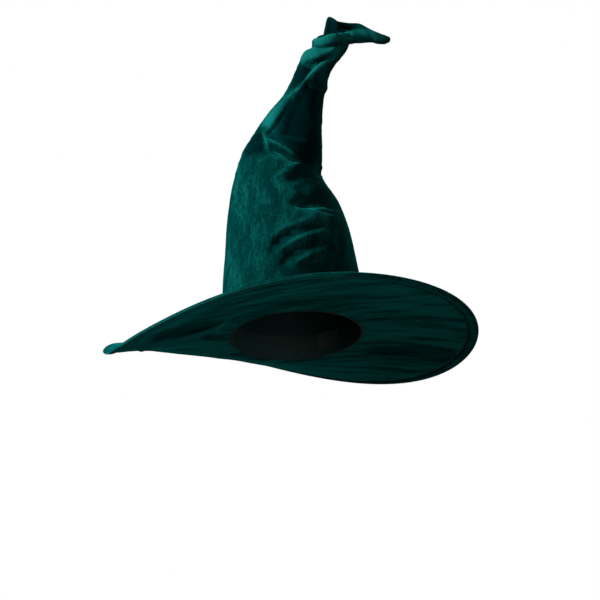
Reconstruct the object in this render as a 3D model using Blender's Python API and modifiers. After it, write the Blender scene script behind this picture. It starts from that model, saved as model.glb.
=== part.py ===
"""A wide-brimmed witch hat of velvet with a tall crumpled crown, built as separate sewn layers.

Metres, +Z up, front towards -Y. The origin is the centre of the head opening, in the plane of the seam
where the crown is sewn to the brim.
"""

import math

import bmesh
import bpy
from mathutils import Matrix, Vector

MM = 0.001

# Head opening: the inside of the sweatband, an oval of 57 cm round.
HEAD_HALF_WIDTH = 82 * MM
HEAD_HALF_LENGTH = 99 * MM

# Cloth and wire thicknesses.
CLEARANCE = 0.3 * MM
VELVET = 1.1 * MM
CROWN_FOAM = 2.0 * MM
LINING = 0.6 * MM
INTERLINING = 1.8 * MM
TAPE = 0.9 * MM
RIBBON = 1.2 * MM
THREAD_RADIUS = 0.35 * MM
BRIM_WIRE_RADIUS = 0.9 * MM
CROWN_WIRE_RADIUS = 1.0 * MM
CASING_WALL = 0.6 * MM

# Heights of the bands inside the opening.
SWEATBAND_HEIGHT = 32 * MM
TAPE_HEIGHT = 11 * MM

# Brim: a disc of this radius before it is bent, with its middle a little off the opening's.
BRIM_RADIUS = 249 * MM
BRIM_MIDDLE = (-7 * MM, -3.5 * MM)
BRIM_CURL = 1.35
BRIM_LEVEL = 2.4 * MM
# How much the rim rises and falls once, twice and three times round, and the turn of each one's high point.
BRIM_LIFTS = (
    (31.5 * MM, math.radians(154.5)),
    (27.5 * MM, math.radians(149)),
    (6.5 * MM, math.radians(155)),
)
FOLD_DEPTH = 7 * MM
FOLD_WIDTH = 26 * MM
FOLD_OFFSET = -110 * MM
FOLD_SPAN = (-40 * MM, -225 * MM)
# Reach is 0 at the opening and 1 at the rim. Every layer has a station at each of these.
FLAT_REACH = 0.06
BRIM_REACHES = (0.0, FLAT_REACH, 0.2, 0.36, 0.52, 0.68, 0.8)

# The channel stitched round the rim, which holds the wire.
CHANNEL_WIDTH = 13 * MM
CHANNEL_HALF = 2.3 * MM
CHANNEL_CROWN = 1.4 * MM
GROOVE_HALF_WIDTH = 1.2 * MM
GROOVE_HALF = 0.25 * MM
GROOVE_SLOPE = 2.6 * MM
WIRE_INSET = 6 * MM
SLEEVE_LENGTH = 14 * MM
SLEEVE_CLEARANCE = 0.4 * MM
SLEEVE_WALL = 0.4 * MM
WIRE_END_GAP = 1.5 * MM

# Crown: it leans and folds in an upright plane, turned this far from the hat's side-to-side axis.
FOLD_TURN = math.radians(25)
# Each station along the crown: the side and height of its outer end, the side and height of its inner
# end, how far its middle lies to the fore, and half its depth from front to back.
CROWN_STATIONS = (
    (-92.5, 0, 92.5, 0, 0, 103),
    (-92, 42, 92.5, 42, 0, 102),
    (-86, 85, 89, 85, 1, 94),
    (-80, 127, 86.5, 127, 2, 87),
    (-72, 170, 78, 168, 3, 77),
    (-61, 212, 65, 194, 4, 66),
    (-44, 252, 58, 212, 5, 57),
    (-25, 279, 62, 240, 5, 50),
    (-6, 303, 66, 281, 5, 42),
    (21, 331, 74, 320, 4, 31),
    (35, 356, 87, 352, 4, 25),
    (50, 379, 113, 388, 3, 24),
    (67, 398, 121, 393, 2, 22),
    (90, 430, 128, 394, 1, 18),
    (116, 424, 140, 393, 0, 14),
    (139, 414, 151, 391.5, -1, 10),
    (155, 404, 160, 390.5, -2, 6.5),
    (165, 396, 166, 390, -2, 3),
)
# The round opening becomes a section across the fold plane between these stations.
OVAL_FROM, OVAL_UNTIL = 0.7, 3.0
CROWN_START = 0.15
CREASE_STATION = 6.0
TIP_STATION = 11.0
LAST_STATION = len(CROWN_STATIONS) - 1.0
FOAM_END = 4.0
JOINT_GAP = 0.015
CROWN_STEP = 1.0
NOSE = 2 * MM

# Wire up the outer side of the crown's bends.
WIRE_DEPTH = 7.6 * MM
WIRE_START = 0.95
WIRE_END = 15.0
WIRE_GAP = 0.03
CAP_LENGTH = 6 * MM

LABEL_WIDTH = 30 * MM
LABEL_HEIGHT = 22 * MM
LABEL_LEAF = 0.5 * MM

TURNS = 40
CROWN_TURNS = 40
WIRE_TURNS = 8

# Colour, roughness and metallic value of each finish.
FINISHES = {
    "velvet": ((0.004, 0.055, 0.045, 1), 0.85, 0),
    "foam": ((0.02, 0.02, 0.02, 1), 0.9, 0),
    "interlining": ((0.75, 0.75, 0.72, 1), 0.9, 0),
    "lining": ((0.01, 0.03, 0.025, 1), 0.45, 0),
    "ribbon": ((0.008, 0.02, 0.016, 1), 0.6, 0),
    "thread": ((0.004, 0.03, 0.024, 1), 0.6, 0),
    "steel": ((0.6, 0.6, 0.62, 1), 0.35, 1),
    "casing": ((0.01, 0.01, 0.01, 1), 0.8, 0),
    "cap": ((0.02, 0.02, 0.02, 1), 0.5, 0),
    "filling": ((0.85, 0.85, 0.83, 1), 0.95, 0),
    "label": ((0.03, 0.035, 0.034, 1), 0.5, 0),
}

# The oval where the brim's layers start, outside the sweatband and the tape.
BAND_STACK = RIBBON + CLEARANCE + TAPE + CLEARANCE
OPENING_HALF_WIDTH = HEAD_HALF_WIDTH + BAND_STACK
OPENING_HALF_LENGTH = HEAD_HALF_LENGTH + BAND_STACK
OPENING_MEAN = (OPENING_HALF_WIDTH + OPENING_HALF_LENGTH) / 2

# Depths below the crown's outer surface at which its layers start.
FOAM_DEPTH = VELVET + CLEARANCE
LINING_DEPTH = FOAM_DEPTH + CROWN_FOAM + CLEARANCE
CROWN_WALL = LINING_DEPTH + LINING

# Heights of the brim's layers above and below its middle surface.
INTERLINING_HALF = INTERLINING / 2
VELVET_HALF = INTERLINING_HALF + CLEARANCE
BRIM_HALF = VELVET_HALF + VELVET

SIDE = Vector((math.cos(FOLD_TURN), math.sin(FOLD_TURN), 0))
FORE = Vector((math.sin(FOLD_TURN), -math.cos(FOLD_TURN), 0))
UP = Vector((0, 0, 1))


def clear_scene():
    for obj in list(bpy.data.objects):
        bpy.data.objects.remove(obj, do_unlink=True)


def new_collection(name):
    collection = bpy.data.collections.new(name)
    bpy.context.scene.collection.children.link(collection)
    return collection


def finish(name):
    """The Principled material of one finish, made once."""
    material = bpy.data.materials.get(name)
    if material is None:
        colour, roughness, metallic = FINISHES[name]
        material = bpy.data.materials.new(name)
        material.use_nodes = True
        shader = material.node_tree.nodes["Principled BSDF"]
        shader.inputs["Base Color"].default_value = colour
        shader.inputs["Roughness"].default_value = roughness
        shader.inputs["Metallic"].default_value = metallic
    return material


def ease(value):
    """0 below 0, 1 above 1, and a smooth step between them."""
    value = min(1.0, max(0.0, value))
    return value * value * (3 - 2 * value)


def hump(value, width):
    return math.exp(-((value / width) ** 2))


# The brim's surface


def opening_radius(turn, wider=0):
    """How far the oval that the brim starts from, or one this much wider, is from the origin."""
    wide, long = OPENING_HALF_WIDTH + wider, OPENING_HALF_LENGTH + wider
    return 1 / math.hypot(math.cos(turn) / wide, math.sin(turn) / long)


def rim_height(turn):
    """The height of the wired rim: one side of the hat is lifted, and the rest hangs."""
    waves = (lift * math.cos((k + 1) * (turn - high)) for k, (lift, high) in enumerate(BRIM_LIFTS))
    return BRIM_LEVEL + sum(waves)


def fold_drop(x, y):
    """A soft straight fold that hangs below the brim's front quarter."""
    near, far = FOLD_SPAN
    along = ease((near - x) / 60 / MM) * ease((x - far) / 60 / MM)
    return FOLD_DEPTH * along * hump(y - FOLD_OFFSET, FOLD_WIDTH)


def brim_point(reach, turn, height):
    """A point of the brim, this far above its middle surface."""
    ahead = Vector((math.cos(turn), math.sin(turn)))
    start = ahead * opening_radius(turn)
    across = Vector(BRIM_MIDDLE) + ahead * BRIM_RADIUS - start
    rise = rim_height(turn)
    across *= math.sqrt(1 - (rise / across.length) ** 2)
    x, y = start + across * reach
    bent = max(0.0, reach - FLAT_REACH) / (1 - FLAT_REACH)
    level = rise * bent**BRIM_CURL - fold_drop(x, y) * ease(bent * 3)
    return Vector((x, y, level + height))


def from_rim(distance):
    """The reach of a place this far in from the rim, on the brim's mean width."""
    return 1 - distance / (BRIM_RADIUS - OPENING_MEAN)


# The crown's surface


def along_crown(place, column):
    """A station value between stations, by a Catmull-Rom curve through them."""
    first = min(int(place), len(CROWN_STATIONS) - 2)
    share = place - first
    picks = [min(max(first + k, 0), len(CROWN_STATIONS) - 1) for k in (-1, 0, 1, 2)]
    a, b, c, d = (CROWN_STATIONS[k][column] for k in picks)
    linear, square, cube = c - a, 2 * a - 5 * b + 4 * c - d, 3 * b - 3 * c + d - a
    return b + 0.5 * share * (linear + share * (square + share * cube))


def section(place):
    """The middle of a section, half its width as a vector in the fold plane, and half its depth."""
    left, low, right, high, fore, depth = (along_crown(place, column) * MM for column in range(6))
    outer = SIDE * left + UP * low
    inner = SIDE * right + UP * high
    return (outer + inner) / 2 + FORE * fore, (inner - outer) / 2, depth


def crown_point(place, turn, depth):
    """A point of the crown, this far below its outer surface. Turn is about the origin, from +X."""
    middle, half_width, half_depth = section(place)
    angle = turn - FOLD_TURN
    wide = half_width * (1 - depth / half_width.length) * math.cos(angle)
    folded = wide - FORE * (half_depth - depth) * math.sin(angle)
    share = ease((place - OVAL_FROM) / (OVAL_UNTIL - OVAL_FROM))
    oval = Vector((math.cos(turn), math.sin(turn), 0)) * opening_radius(turn, CROWN_WALL - depth)
    return middle + oval * (1 - share) + folded * share


# Building tools


def add_object(name, data, material, collection):
    obj = bpy.data.objects.new(name, data)
    data.materials.append(finish(material))
    collection.objects.link(obj)
    return obj


def turned_mesh(name, profile, closed, turns):
    """A profile of (radius, height) points turned round Z with a Screw modifier, as a mesh."""
    count = len(profile)
    ends = count if closed else count - 1
    edges = [(k, (k + 1) % count) for k in range(ends)]
    wire = bpy.data.meshes.new(name + "_profile")
    wire.from_pydata([(radius, 0, height) for radius, height in profile], edges, [])
    source = bpy.data.objects.new(name + "_profile", wire)
    bpy.context.scene.collection.objects.link(source)
    screw = source.modifiers.new("turn", "SCREW")
    screw.axis = "Z"
    screw.angle = math.tau
    screw.steps = screw.render_steps = turns
    screw.use_merge_vertices = True
    screw.merge_threshold = 0.0000001
    graph = bpy.context.evaluated_depsgraph_get()
    mesh = bpy.data.meshes.new_from_object(source.evaluated_get(graph))
    bpy.data.objects.remove(source)
    mesh.name = name
    return mesh


def split_faces(mesh):
    """Splits each four-sided face along the diagonal that climbs with the turn, alike in every layer."""
    turns = [math.atan2(vertex.co.y, vertex.co.x) for vertex in mesh.vertices]
    climbs = [math.hypot(vertex.co.x, vertex.co.y) + vertex.co.z for vertex in mesh.vertices]
    shape = bmesh.new()
    shape.from_mesh(mesh)
    for face in list(shape.faces):
        if len(face.verts) == 4:
            a, b, c, d = face.verts
            turned = (turns[c.index] - turns[a.index] + math.pi) % math.tau - math.pi
            climbed = climbs[c.index] - climbs[a.index]
            ends = (a, c) if turned * climbed > 0 else (b, d)
            bmesh.utils.face_split(face, *ends)
    shape.to_mesh(mesh)
    shape.free()


def shaped(name, profile, closed, place_point, material, collection, turns=TURNS):
    """A turned profile whose points are then carried to place_point(radius, turn, height)."""
    mesh = turned_mesh(name, profile, closed, turns)
    split_faces(mesh)
    for vertex in mesh.vertices:
        x, y, height = vertex.co
        vertex.co = place_point(math.hypot(x, y), math.atan2(y, x), height)
    mesh.shade_smooth()
    mesh.set_sharp_from_angle(angle=math.radians(40))
    obj = add_object(name, mesh, material, collection)
    face_outwards(obj)
    return obj


def face_outwards(obj):
    """Turns every face of a closed mesh outwards."""
    volume = sum(
        obj.data.vertices[t.vertices[0]].co.dot(
            obj.data.vertices[t.vertices[1]].co.cross(obj.data.vertices[t.vertices[2]].co)
        )
        for t in triangles(obj.data)
    )
    if volume < 0:
        obj.data.flip_normals()


def triangles(mesh):
    mesh.calc_loop_triangles()
    return mesh.loop_triangles


# The brim's pieces


def brim_layer(name, upper, lower, material, collection):
    """A ring of cloth whose section is the closed outline through its (reach, height) points."""
    base = 1.0
    profile = [(base + reach, height) for reach, height in upper + lower[::-1]]

    def place_point(radius, turn, height):
        return brim_point(radius - base, turn, height)

    return shaped(name, profile, True, place_point, material, collection)


def velvet_face(name, sign, collection):
    """One velvet face of the brim: flat over the interlining, pinched at the groove, full over the wire."""
    inside = [(reach, VELVET_HALF) for reach in BRIM_REACHES]
    inside += [
        (from_rim(CHANNEL_WIDTH + GROOVE_SLOPE + GROOVE_HALF_WIDTH), VELVET_HALF),
        (from_rim(CHANNEL_WIDTH + GROOVE_HALF_WIDTH), GROOVE_HALF),
        (from_rim(CHANNEL_WIDTH - GROOVE_HALF_WIDTH), GROOVE_HALF),
        (from_rim(WIRE_INSET + CHANNEL_CROWN), CHANNEL_HALF),
        (from_rim(WIRE_INSET - CHANNEL_CROWN), CHANNEL_HALF),
        (from_rim(VELVET + CLEARANCE), CLEARANCE / 2),
    ]
    outside = [(reach, height + VELVET) for reach, height in inside[:-1]]
    outside.append((1.0, CLEARANCE / 2))
    faces = [[(reach, sign * height) for reach, height in side] for side in (inside, outside)]
    return brim_layer(name, faces[0], faces[1], "velvet", collection)


def interlining(collection):
    """The stiff sheet between the velvet faces, which stops short of the stitched groove."""
    end = from_rim(CHANNEL_WIDTH + GROOVE_SLOPE + GROOVE_HALF_WIDTH)
    reaches = BRIM_REACHES + (end - 0.002,)
    upper = [(reach, INTERLINING_HALF) for reach in reaches]
    lower = [(reach, -INTERLINING_HALF) for reach in reaches]
    return brim_layer("brim_interlining", upper, lower, "interlining", collection)


def stitch_ring(name, sign, collection):
    """A row of topstitching lying in the groove of one face."""
    height = sign * (GROOVE_HALF + VELVET + CLEARANCE + THREAD_RADIUS)
    reach = from_rim(CHANNEL_WIDTH)
    half = THREAD_RADIUS / (BRIM_RADIUS - OPENING_MEAN)
    upper = [(reach - half, height), (reach, height + THREAD_RADIUS)]
    lower = [(reach, height - THREAD_RADIUS), (reach + half, height)]
    return brim_layer(name, upper, lower, "thread", collection)


def rim_wire(collection):
    """The hoop of spring wire in the channel, and the sleeve that joins its ends at the back."""
    reach = from_rim(WIRE_INSET)
    half_gap = WIRE_END_GAP / 2 / BRIM_RADIUS
    back = math.pi / 2
    step = math.tau / TURNS
    inside = SLEEVE_LENGTH / 2 / BRIM_RADIUS
    turns = [half_gap, inside] + [step * k for k in range(1, TURNS)] + [math.tau - inside, math.tau - half_gap]
    points = [brim_point(reach, back + turn, 0) for turn in turns]
    tube("brim_wire", points, BRIM_WIRE_RADIUS, "steel", collection)

    ahead = brim_point(reach, back + 0.03, 0) - brim_point(reach, back - 0.03, 0)
    bore = BRIM_WIRE_RADIUS + SLEEVE_CLEARANCE
    wall = bore + SLEEVE_WALL
    half = SLEEVE_LENGTH / 2
    middle = brim_point(reach, back, 0)
    along = ahead.normalized()
    across = along.cross(UP).normalized()
    line = [middle - along * half, middle + along * half]
    hollow_tube("brim_wire_sleeve", line, across, bore, wall, "steel", collection)


# The bands inside the opening


def oval_band(name, inset, thickness, low, high, material, collection):
    """An upright band inside the opening, its outer face this far in from the brim's layers."""

    def place_point(radius, turn, height):
        out = opening_radius(turn, radius - 1 - inset)
        return Vector((out * math.cos(turn), out * math.sin(turn), height))

    profile = [(1, low), (1, high), (1 - thickness, high), (1 - thickness, low)]
    return shaped(name, profile, True, place_point, material, collection)


def bands(collection):
    bottom = -BRIM_HALF
    ribbon_inset = CLEARANCE + TAPE + CLEARANCE
    thread = 2 * THREAD_RADIUS
    stitch_inset = ribbon_inset + RIBBON + CLEARANCE
    stitch_level = bottom + 4 * MM
    top = bottom + SWEATBAND_HEIGHT
    oval_band("seam_tape", CLEARANCE, TAPE, bottom, bottom + TAPE_HEIGHT, "casing", collection)
    oval_band("sweatband", ribbon_inset, RIBBON, bottom, top, "ribbon", collection)
    oval_band("sweatband_stitch", stitch_inset, thread, stitch_level, stitch_level + thread, "thread", collection)


def care_label(collection):
    """A blank folded label, sewn to the inside of the sweatband at the back."""
    inside = HEAD_HALF_LENGTH - 2 * THREAD_RADIUS - 2 * CLEARANCE
    bow = HEAD_HALF_LENGTH * (1 - math.sqrt(1 - (LABEL_WIDTH / 2 / HEAD_HALF_WIDTH) ** 2))
    back = inside - bow
    low = -BRIM_HALF + SWEATBAND_HEIGHT - LABEL_HEIGHT
    corners = [
        (x, y, z)
        for z in (low, low + LABEL_HEIGHT)
        for x, y in (
            (-LABEL_WIDTH / 2, back - 2 * LABEL_LEAF),
            (LABEL_WIDTH / 2, back - 2 * LABEL_LEAF),
            (LABEL_WIDTH / 2, back),
            (-LABEL_WIDTH / 2, back),
        )
    ]
    sides = [(k, (k + 1) % 4, (k + 1) % 4 + 4, k + 4) for k in range(4)]
    mesh = bpy.data.meshes.new("care_label")
    mesh.from_pydata(corners, [], [(3, 2, 1, 0), (4, 5, 6, 7)] + sides)
    add_object("care_label", mesh, "label", collection)


# The crown's pieces


def places(start, end):
    """The stations from start to end, with the two ends themselves."""
    inner = [k * CROWN_STEP for k in range(int(LAST_STATION / CROWN_STEP) + 1)]
    return [start] + [place for place in inner if start + 0.05 < place < end - 0.05] + [end]


def crown_tube(name, start, end, depth, thickness, material, collection):
    """A sleeve of cloth between two places, open at both ends."""
    line = places(start, end)
    outer = [(2 - depth, place) for place in line]
    inner = [(2 - depth - thickness, place) for place in line]

    def place_point(radius, turn, place):
        return crown_point(place, turn, 2 - radius)

    profile = outer + inner[::-1]
    return shaped(name, profile, True, place_point, material, collection, CROWN_TURNS)


def crown_sock(name, start, thickness, material, collection):
    """A sleeve of cloth that is closed over the crown's last station."""
    inner_end = LAST_STATION - 1
    outer = [(2, place) for place in places(start, LAST_STATION)]
    inner = [(2 - thickness, place) for place in places(start, inner_end)]
    profile = [(0, LAST_STATION + 1)] + outer[::-1] + inner + [(0, inner_end + 0.4)]

    def place_point(radius, turn, place):
        if radius > 1:
            return crown_point(place, turn, 2 - radius)
        middle = section(min(place, LAST_STATION))[0]
        beyond = NOSE if place > LAST_STATION else 0
        return middle + tip_direction() * beyond

    return shaped(name, profile, False, place_point, material, collection, CROWN_TURNS)


def tip_direction():
    return (section(LAST_STATION)[0] - section(LAST_STATION - 0.5)[0]).normalized()


def wire_line(start, end):
    """Points up the inside of the crown, on the outer side of its bends."""
    return [crown_point(place, FOLD_TURN + math.pi, WIRE_DEPTH) for place in places(start, end)]


def tube(name, points, radius, material, collection):
    """A solid rod along points: a curve with a round bevel and filled caps."""
    curve = bpy.data.curves.new(name, "CURVE")
    curve.dimensions = "3D"
    curve.bevel_depth = radius
    curve.bevel_resolution = 1
    curve.use_fill_caps = True
    spline = curve.splines.new("POLY")
    spline.points.add(len(points) - 1)
    for target, point in zip(spline.points, points):
        target.co = (*point, 1)
    return add_object(name, curve, material, collection)


def hollow_tube(name, points, across, bore, outer, material, collection, plugged=False):
    """A sleeve along points, square to across everywhere. A plugged one has no bore over its last length."""
    aheads = [points[min(k + 1, len(points) - 1)] - points[max(k - 1, 0)] for k in range(len(points))]

    def place_point(radius, turn, height):
        k = round(height)
        normal = across.cross(aheads[k]).normalized()
        return points[k] + (across * math.cos(turn) + normal * math.sin(turn)) * radius

    line = range(len(points))
    if plugged:
        bored = line[:-1]
        profile = [(0, line[-1])] + [(outer, k) for k in line[::-1]] + [(bore, k) for k in bored] + [(0, bored[-1])]
    else:
        profile = [(outer, k) for k in line] + [(bore, k) for k in line[::-1]]
    return shaped(name, profile, not plugged, place_point, material, collection, WIRE_TURNS)


def wire_run(name, start, end, collection):
    """One length of the crown's wire, and the cloth casing round it, which leaves a capped end bare."""
    points = wire_line(start, end)
    wire = tube("crown_wire_" + name, points, CROWN_WIRE_RADIUS, "steel", collection)
    cased = list(points)
    if name == "lower":
        cased[0] = points[0].lerp(points[1], 0.2)
    if name == "tip":
        cased[-1] = points[-1].lerp(points[-2], 0.35)
    bore = CROWN_WIRE_RADIUS + CLEARANCE
    casing = hollow_tube("wire_casing_" + name, cased, FORE, bore, bore + CASING_WALL, "casing", collection)
    return points, [wire, casing]


def wire_cap(name, end, inward, collection):
    """A soft cap over one end of the wire, so that it can't poke through the cloth."""
    along = (end - inward).normalized()
    bore = CROWN_WIRE_RADIUS + CLEARANCE
    line = [end - along * CAP_LENGTH * 0.5, end + along * CLEARANCE, end + along * CAP_LENGTH * 0.4]
    return hollow_tube(name, line, FORE, bore, bore + CASING_WALL, "cap", collection, plugged=True)


def pivot(name, place, parent, collection):
    """An empty on the fold line of a bend: the outer end of the section there."""
    middle, half_width, _ = section(place)
    empty = bpy.data.objects.new(name, None)
    empty.empty_display_size = 20 * MM
    empty.location = middle - half_width - (parent.location if parent else Vector())
    empty.parent = parent
    collection.objects.link(empty)
    return empty


def hang(objects, empty, place):
    """Parents objects to the empty of the bend at this place, where they are."""
    middle, half_width, _ = section(place)
    for obj in objects:
        obj.parent = empty
        obj.matrix_parent_inverse = Matrix.Translation(half_width - middle)


def crown(collection):
    below, above = CREASE_STATION - JOINT_GAP, CREASE_STATION + JOINT_GAP
    short, beyond = TIP_STATION - JOINT_GAP, TIP_STATION + JOINT_GAP

    crown_tube("crown_velvet_lower", CROWN_START, below, 0, VELVET, "velvet", collection)
    crown_tube("crown_foam_lower", CROWN_START, FOAM_END, FOAM_DEPTH, CROWN_FOAM, "foam", collection)
    crown_tube("crown_lining_lower", CROWN_START, below, LINING_DEPTH, LINING, "lining", collection)
    points, _ = wire_run("lower", WIRE_START, CREASE_STATION - WIRE_GAP, collection)
    wire_cap("wire_cap_foot", points[0], points[1], collection)

    upper = [
        crown_tube("crown_velvet_upper", above, short, 0, VELVET, "velvet", collection),
        crown_tube("crown_lining_upper", above, short, LINING_DEPTH, LINING, "lining", collection),
    ]
    upper += wire_run("upper", CREASE_STATION + WIRE_GAP, TIP_STATION - WIRE_GAP, collection)[1]

    points, tip = wire_run("tip", TIP_STATION + WIRE_GAP, WIRE_END, collection)
    tip.append(crown_sock("crown_velvet_tip", beyond, VELVET, "velvet", collection))
    tip.append(wire_cap("wire_cap_tip", points[-1], points[-2], collection))

    crown_pivot = pivot("crown_pivot", CREASE_STATION, None, collection)
    tip_pivot = pivot("tip_pivot", TIP_STATION, crown_pivot, collection)
    hang(upper, crown_pivot, CREASE_STATION)
    hang(tip, tip_pivot, TIP_STATION)


def build_hat():
    hat = new_collection("witch_hat")
    velvet_face("brim_velvet_top", 1, hat)
    velvet_face("brim_velvet_under", -1, hat)
    interlining(hat)
    stitch_ring("topstitch_upper", 1, hat)
    stitch_ring("topstitch_under", -1, hat)
    rim_wire(hat)
    bands(hat)
    care_label(hat)
    crown(hat)


clear_scene()
build_hat()
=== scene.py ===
import math

import bmesh
import bpy
import numpy as np
from mathutils import Matrix, Vector


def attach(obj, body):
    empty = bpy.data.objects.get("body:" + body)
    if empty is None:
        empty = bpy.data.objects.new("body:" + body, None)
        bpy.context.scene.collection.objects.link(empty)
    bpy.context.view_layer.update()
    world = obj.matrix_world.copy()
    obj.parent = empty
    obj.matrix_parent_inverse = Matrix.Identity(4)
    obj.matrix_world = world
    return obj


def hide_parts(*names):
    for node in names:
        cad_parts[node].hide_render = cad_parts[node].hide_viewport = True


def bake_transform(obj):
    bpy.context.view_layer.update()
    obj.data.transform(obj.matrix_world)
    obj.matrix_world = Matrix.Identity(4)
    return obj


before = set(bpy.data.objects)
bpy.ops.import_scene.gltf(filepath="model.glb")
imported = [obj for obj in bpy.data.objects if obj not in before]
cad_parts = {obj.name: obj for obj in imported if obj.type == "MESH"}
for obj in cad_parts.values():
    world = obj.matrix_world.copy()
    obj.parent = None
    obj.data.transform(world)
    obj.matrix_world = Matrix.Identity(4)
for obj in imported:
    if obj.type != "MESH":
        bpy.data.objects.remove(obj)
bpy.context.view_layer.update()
mm = 0.001

# Shapes are worked out in mm and are put into their meshes in metres.
# The crown leans and folds in an upright plane, turned this far from the side-to-side axis.
leanTurn = math.radians(25)
side = np.array([math.cos(leanTurn), math.sin(leanTurn), 0.0])
fore = np.array([math.sin(leanTurn), -math.cos(leanTurn), 0.0])
up = np.array([0.0, 0.0, 1.0])

# Front folds are placed as they look from this far below: across is along side, and rise is square to it.
sightTilt = math.radians(19.2)
rise = up * math.cos(sightTilt) + fore * math.sin(sightTilt)
sight = fore * math.cos(sightTilt) - up * math.sin(sightTilt)


def smooth(x, low=0.0, high=1.0):
    # 0 below low, 1 above high, and an even S between them
    t = np.clip((x - low) / (high - low), 0, 1)
    return t * t * (3 - 2 * t)


def bell(x, width):
    # 1 at 0, falling off on both sides as exp(-(x / width) squared)
    return np.exp(-((x / width) ** 2))


def unit(vectors):
    return vectors / np.linalg.norm(vectors, axis=-1, keepdims=True)


def atTurn(turn, reach, height):
    # a place at each turn about the upright axis, this far out and this high
    return np.stack([reach * np.cos(turn), reach * np.sin(turn), height + 0 * turn], axis=-1)


def evenTurns(count, first=0.0):
    return np.linspace(first, first + 2 * math.pi, count, endpoint=False)


def addObject(name, data):
    made = bpy.data.objects.new(name, data)
    bpy.context.scene.collection.objects.link(made)
    return made


def cellNoise(places, seed=0):
    # value noise from -1 to 1: fixed scrambled values at the corners of unit cells, blended with smooth steps
    cell = np.floor(places).astype(np.int64)
    share = smooth(places - cell)
    total = 0.0
    for corner in np.ndindex(2, 2, 2):
        i, j, k = np.moveaxis(cell + corner, -1, 0)
        mixed = (i * 374761393 + j * 668265263 + k * 1442695041 + seed * 974634777) & 0x7FFFFFFF
        mixed = ((mixed ^ (mixed >> 13)) * 1274126177) & 0x7FFFFFFF
        height = ((mixed ^ (mixed >> 16)) & 0xFFFF) / 32767.5 - 1
        total = total + height * np.prod(np.where(corner, share, 1 - share), axis=-1)
    return total


def layered(places, octaves=3, seed=0):
    # noise added to itself at twice the pitch and half the height, octaves times
    return sum(cellNoise(places * 2**k, seed + k) / 2**k for k in range(octaves))


def catmull(rows, at):
    # a Catmull-Rom curve through rows, read at whole and part row numbers
    rows = np.asarray(rows, float)
    first = np.clip(np.floor(at).astype(int), 0, len(rows) - 2)
    t = (at - first)[:, None]
    a, b, c, d = (rows[np.clip(first + k, 0, len(rows) - 1)] for k in (-1, 0, 1, 2))
    return b + 0.5 * t * (c - a + t * (2 * a - 5 * b + 4 * c - d + t * (3 * b - 3 * c + d - a)))


def gridNormals(points):
    # the cross product of the steps round each ring and from ring to ring
    down = np.gradient(points, axis=0)
    around = np.roll(points, -1, axis=1) - np.roll(points, 1, axis=1)
    normal = np.cross(around, down)
    return normal / np.maximum(np.linalg.norm(normal, axis=2, keepdims=True), 1e-9)


def relax(points, rounds, share=0.5):
    # each round moves every inner point part of the way to the mean of its four neighbours
    for _ in range(rounds):
        sides = (np.roll(points, 1, 1) + np.roll(points, -1, 1)) / 2
        ends = points.copy()
        ends[1:-1] = (points[2:] + points[:-2]) / 2
        ends[0], ends[-1] = points[0], points[-1]
        moved = points + share * ((sides + ends) / 2 - points)
        moved[0], moved[-1] = points[0], points[-1]
        points = moved
    return points


def gridPiece(name, points, uv, ring=True, loop=False, weld=False, flip=False, attributes=None):
    # Joins each point of a grid to the next row and the next column. ring closes the columns and loop the rows.
    # Points may hold several grids of one size, for a shape that is repeated. uv is in metres of cloth, and
    # holds one more column than a ring has. weld makes one point of each pole.
    copies = points.reshape(-1, *points.shape[-3:])
    count, rows, columns = copies.shape[:3]
    downs, acrosses = (rows if loop else rows - 1), (columns if ring else columns - 1)
    i, j = np.meshgrid(np.arange(downs), np.arange(acrosses), indexing="ij")
    nextI, nextJ = (i + 1) % rows, (j + 1) % columns
    corners = [(i, j), (i, nextJ), (nextI, nextJ), (nextI, j)]
    uvCorners = [(i, j), (i, j + 1), (nextI, j + 1), (nextI, j)]
    if flip:
        corners, uvCorners = corners[::-1], uvCorners[::-1]
    faces = np.stack([a * columns + b for a, b in corners], axis=-1).reshape(-1, 4)
    faces = (faces[None] + np.arange(count)[:, None, None] * rows * columns).reshape(-1, 4)
    mesh = bpy.data.meshes.new(name)
    mesh.vertices.add(count * rows * columns)
    mesh.vertices.foreach_set("co", (copies * mm).reshape(-1).astype(np.float32))
    mesh.loops.add(faces.size)
    mesh.loops.foreach_set("vertex_index", faces.reshape(-1).astype(np.int32))
    mesh.polygons.add(len(faces))
    mesh.polygons.foreach_set("loop_start", np.arange(0, faces.size, 4, dtype=np.int32))
    mesh.update(calc_edges=True)
    layer = mesh.uv_layers.new(name="cloth")
    picked = np.stack([uv[a, b] for a, b in uvCorners], axis=-2).reshape(-1, 2)
    layer.data.foreach_set("uv", np.tile(picked, (count, 1)).reshape(-1).astype(np.float32))
    for label, values in (attributes or {}).items():
        data = mesh.attributes.new(label, "FLOAT", "POINT").data
        data.foreach_set("value", values.reshape(-1).astype(np.float32))
    if weld:
        shape = bmesh.new()
        shape.from_mesh(mesh)
        bmesh.ops.remove_doubles(shape, verts=shape.verts, dist=1e-6)
        shape.to_mesh(mesh)
        shape.free()
    mesh.shade_smooth()
    mesh.set_sharp_from_angle(angle=math.radians(75))
    return addObject(name, mesh)


def clothUv(points):
    # metres of cloth: round each ring from the middle of its front, and from ring to ring on the mean
    around = np.concatenate([points, points[:, :1]], axis=1)
    steps = np.linalg.norm(np.diff(around, axis=1), axis=2)
    u = np.concatenate([np.zeros((len(points), 1)), np.cumsum(steps, axis=1)], axis=1)
    down = np.linalg.norm(np.diff(around, axis=0), axis=2).mean(axis=1)
    v = np.broadcast_to(np.concatenate([[0], np.cumsum(down)])[:, None], u.shape)
    return np.stack([u - u[:, -1:] / 2, v], axis=-1) * mm


def wall(outer, inner):
    # a wall between two faces: the rows of the outer one, then those of the inner one back to the start
    return np.concatenate([outer, inner[::-1]])


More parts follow.
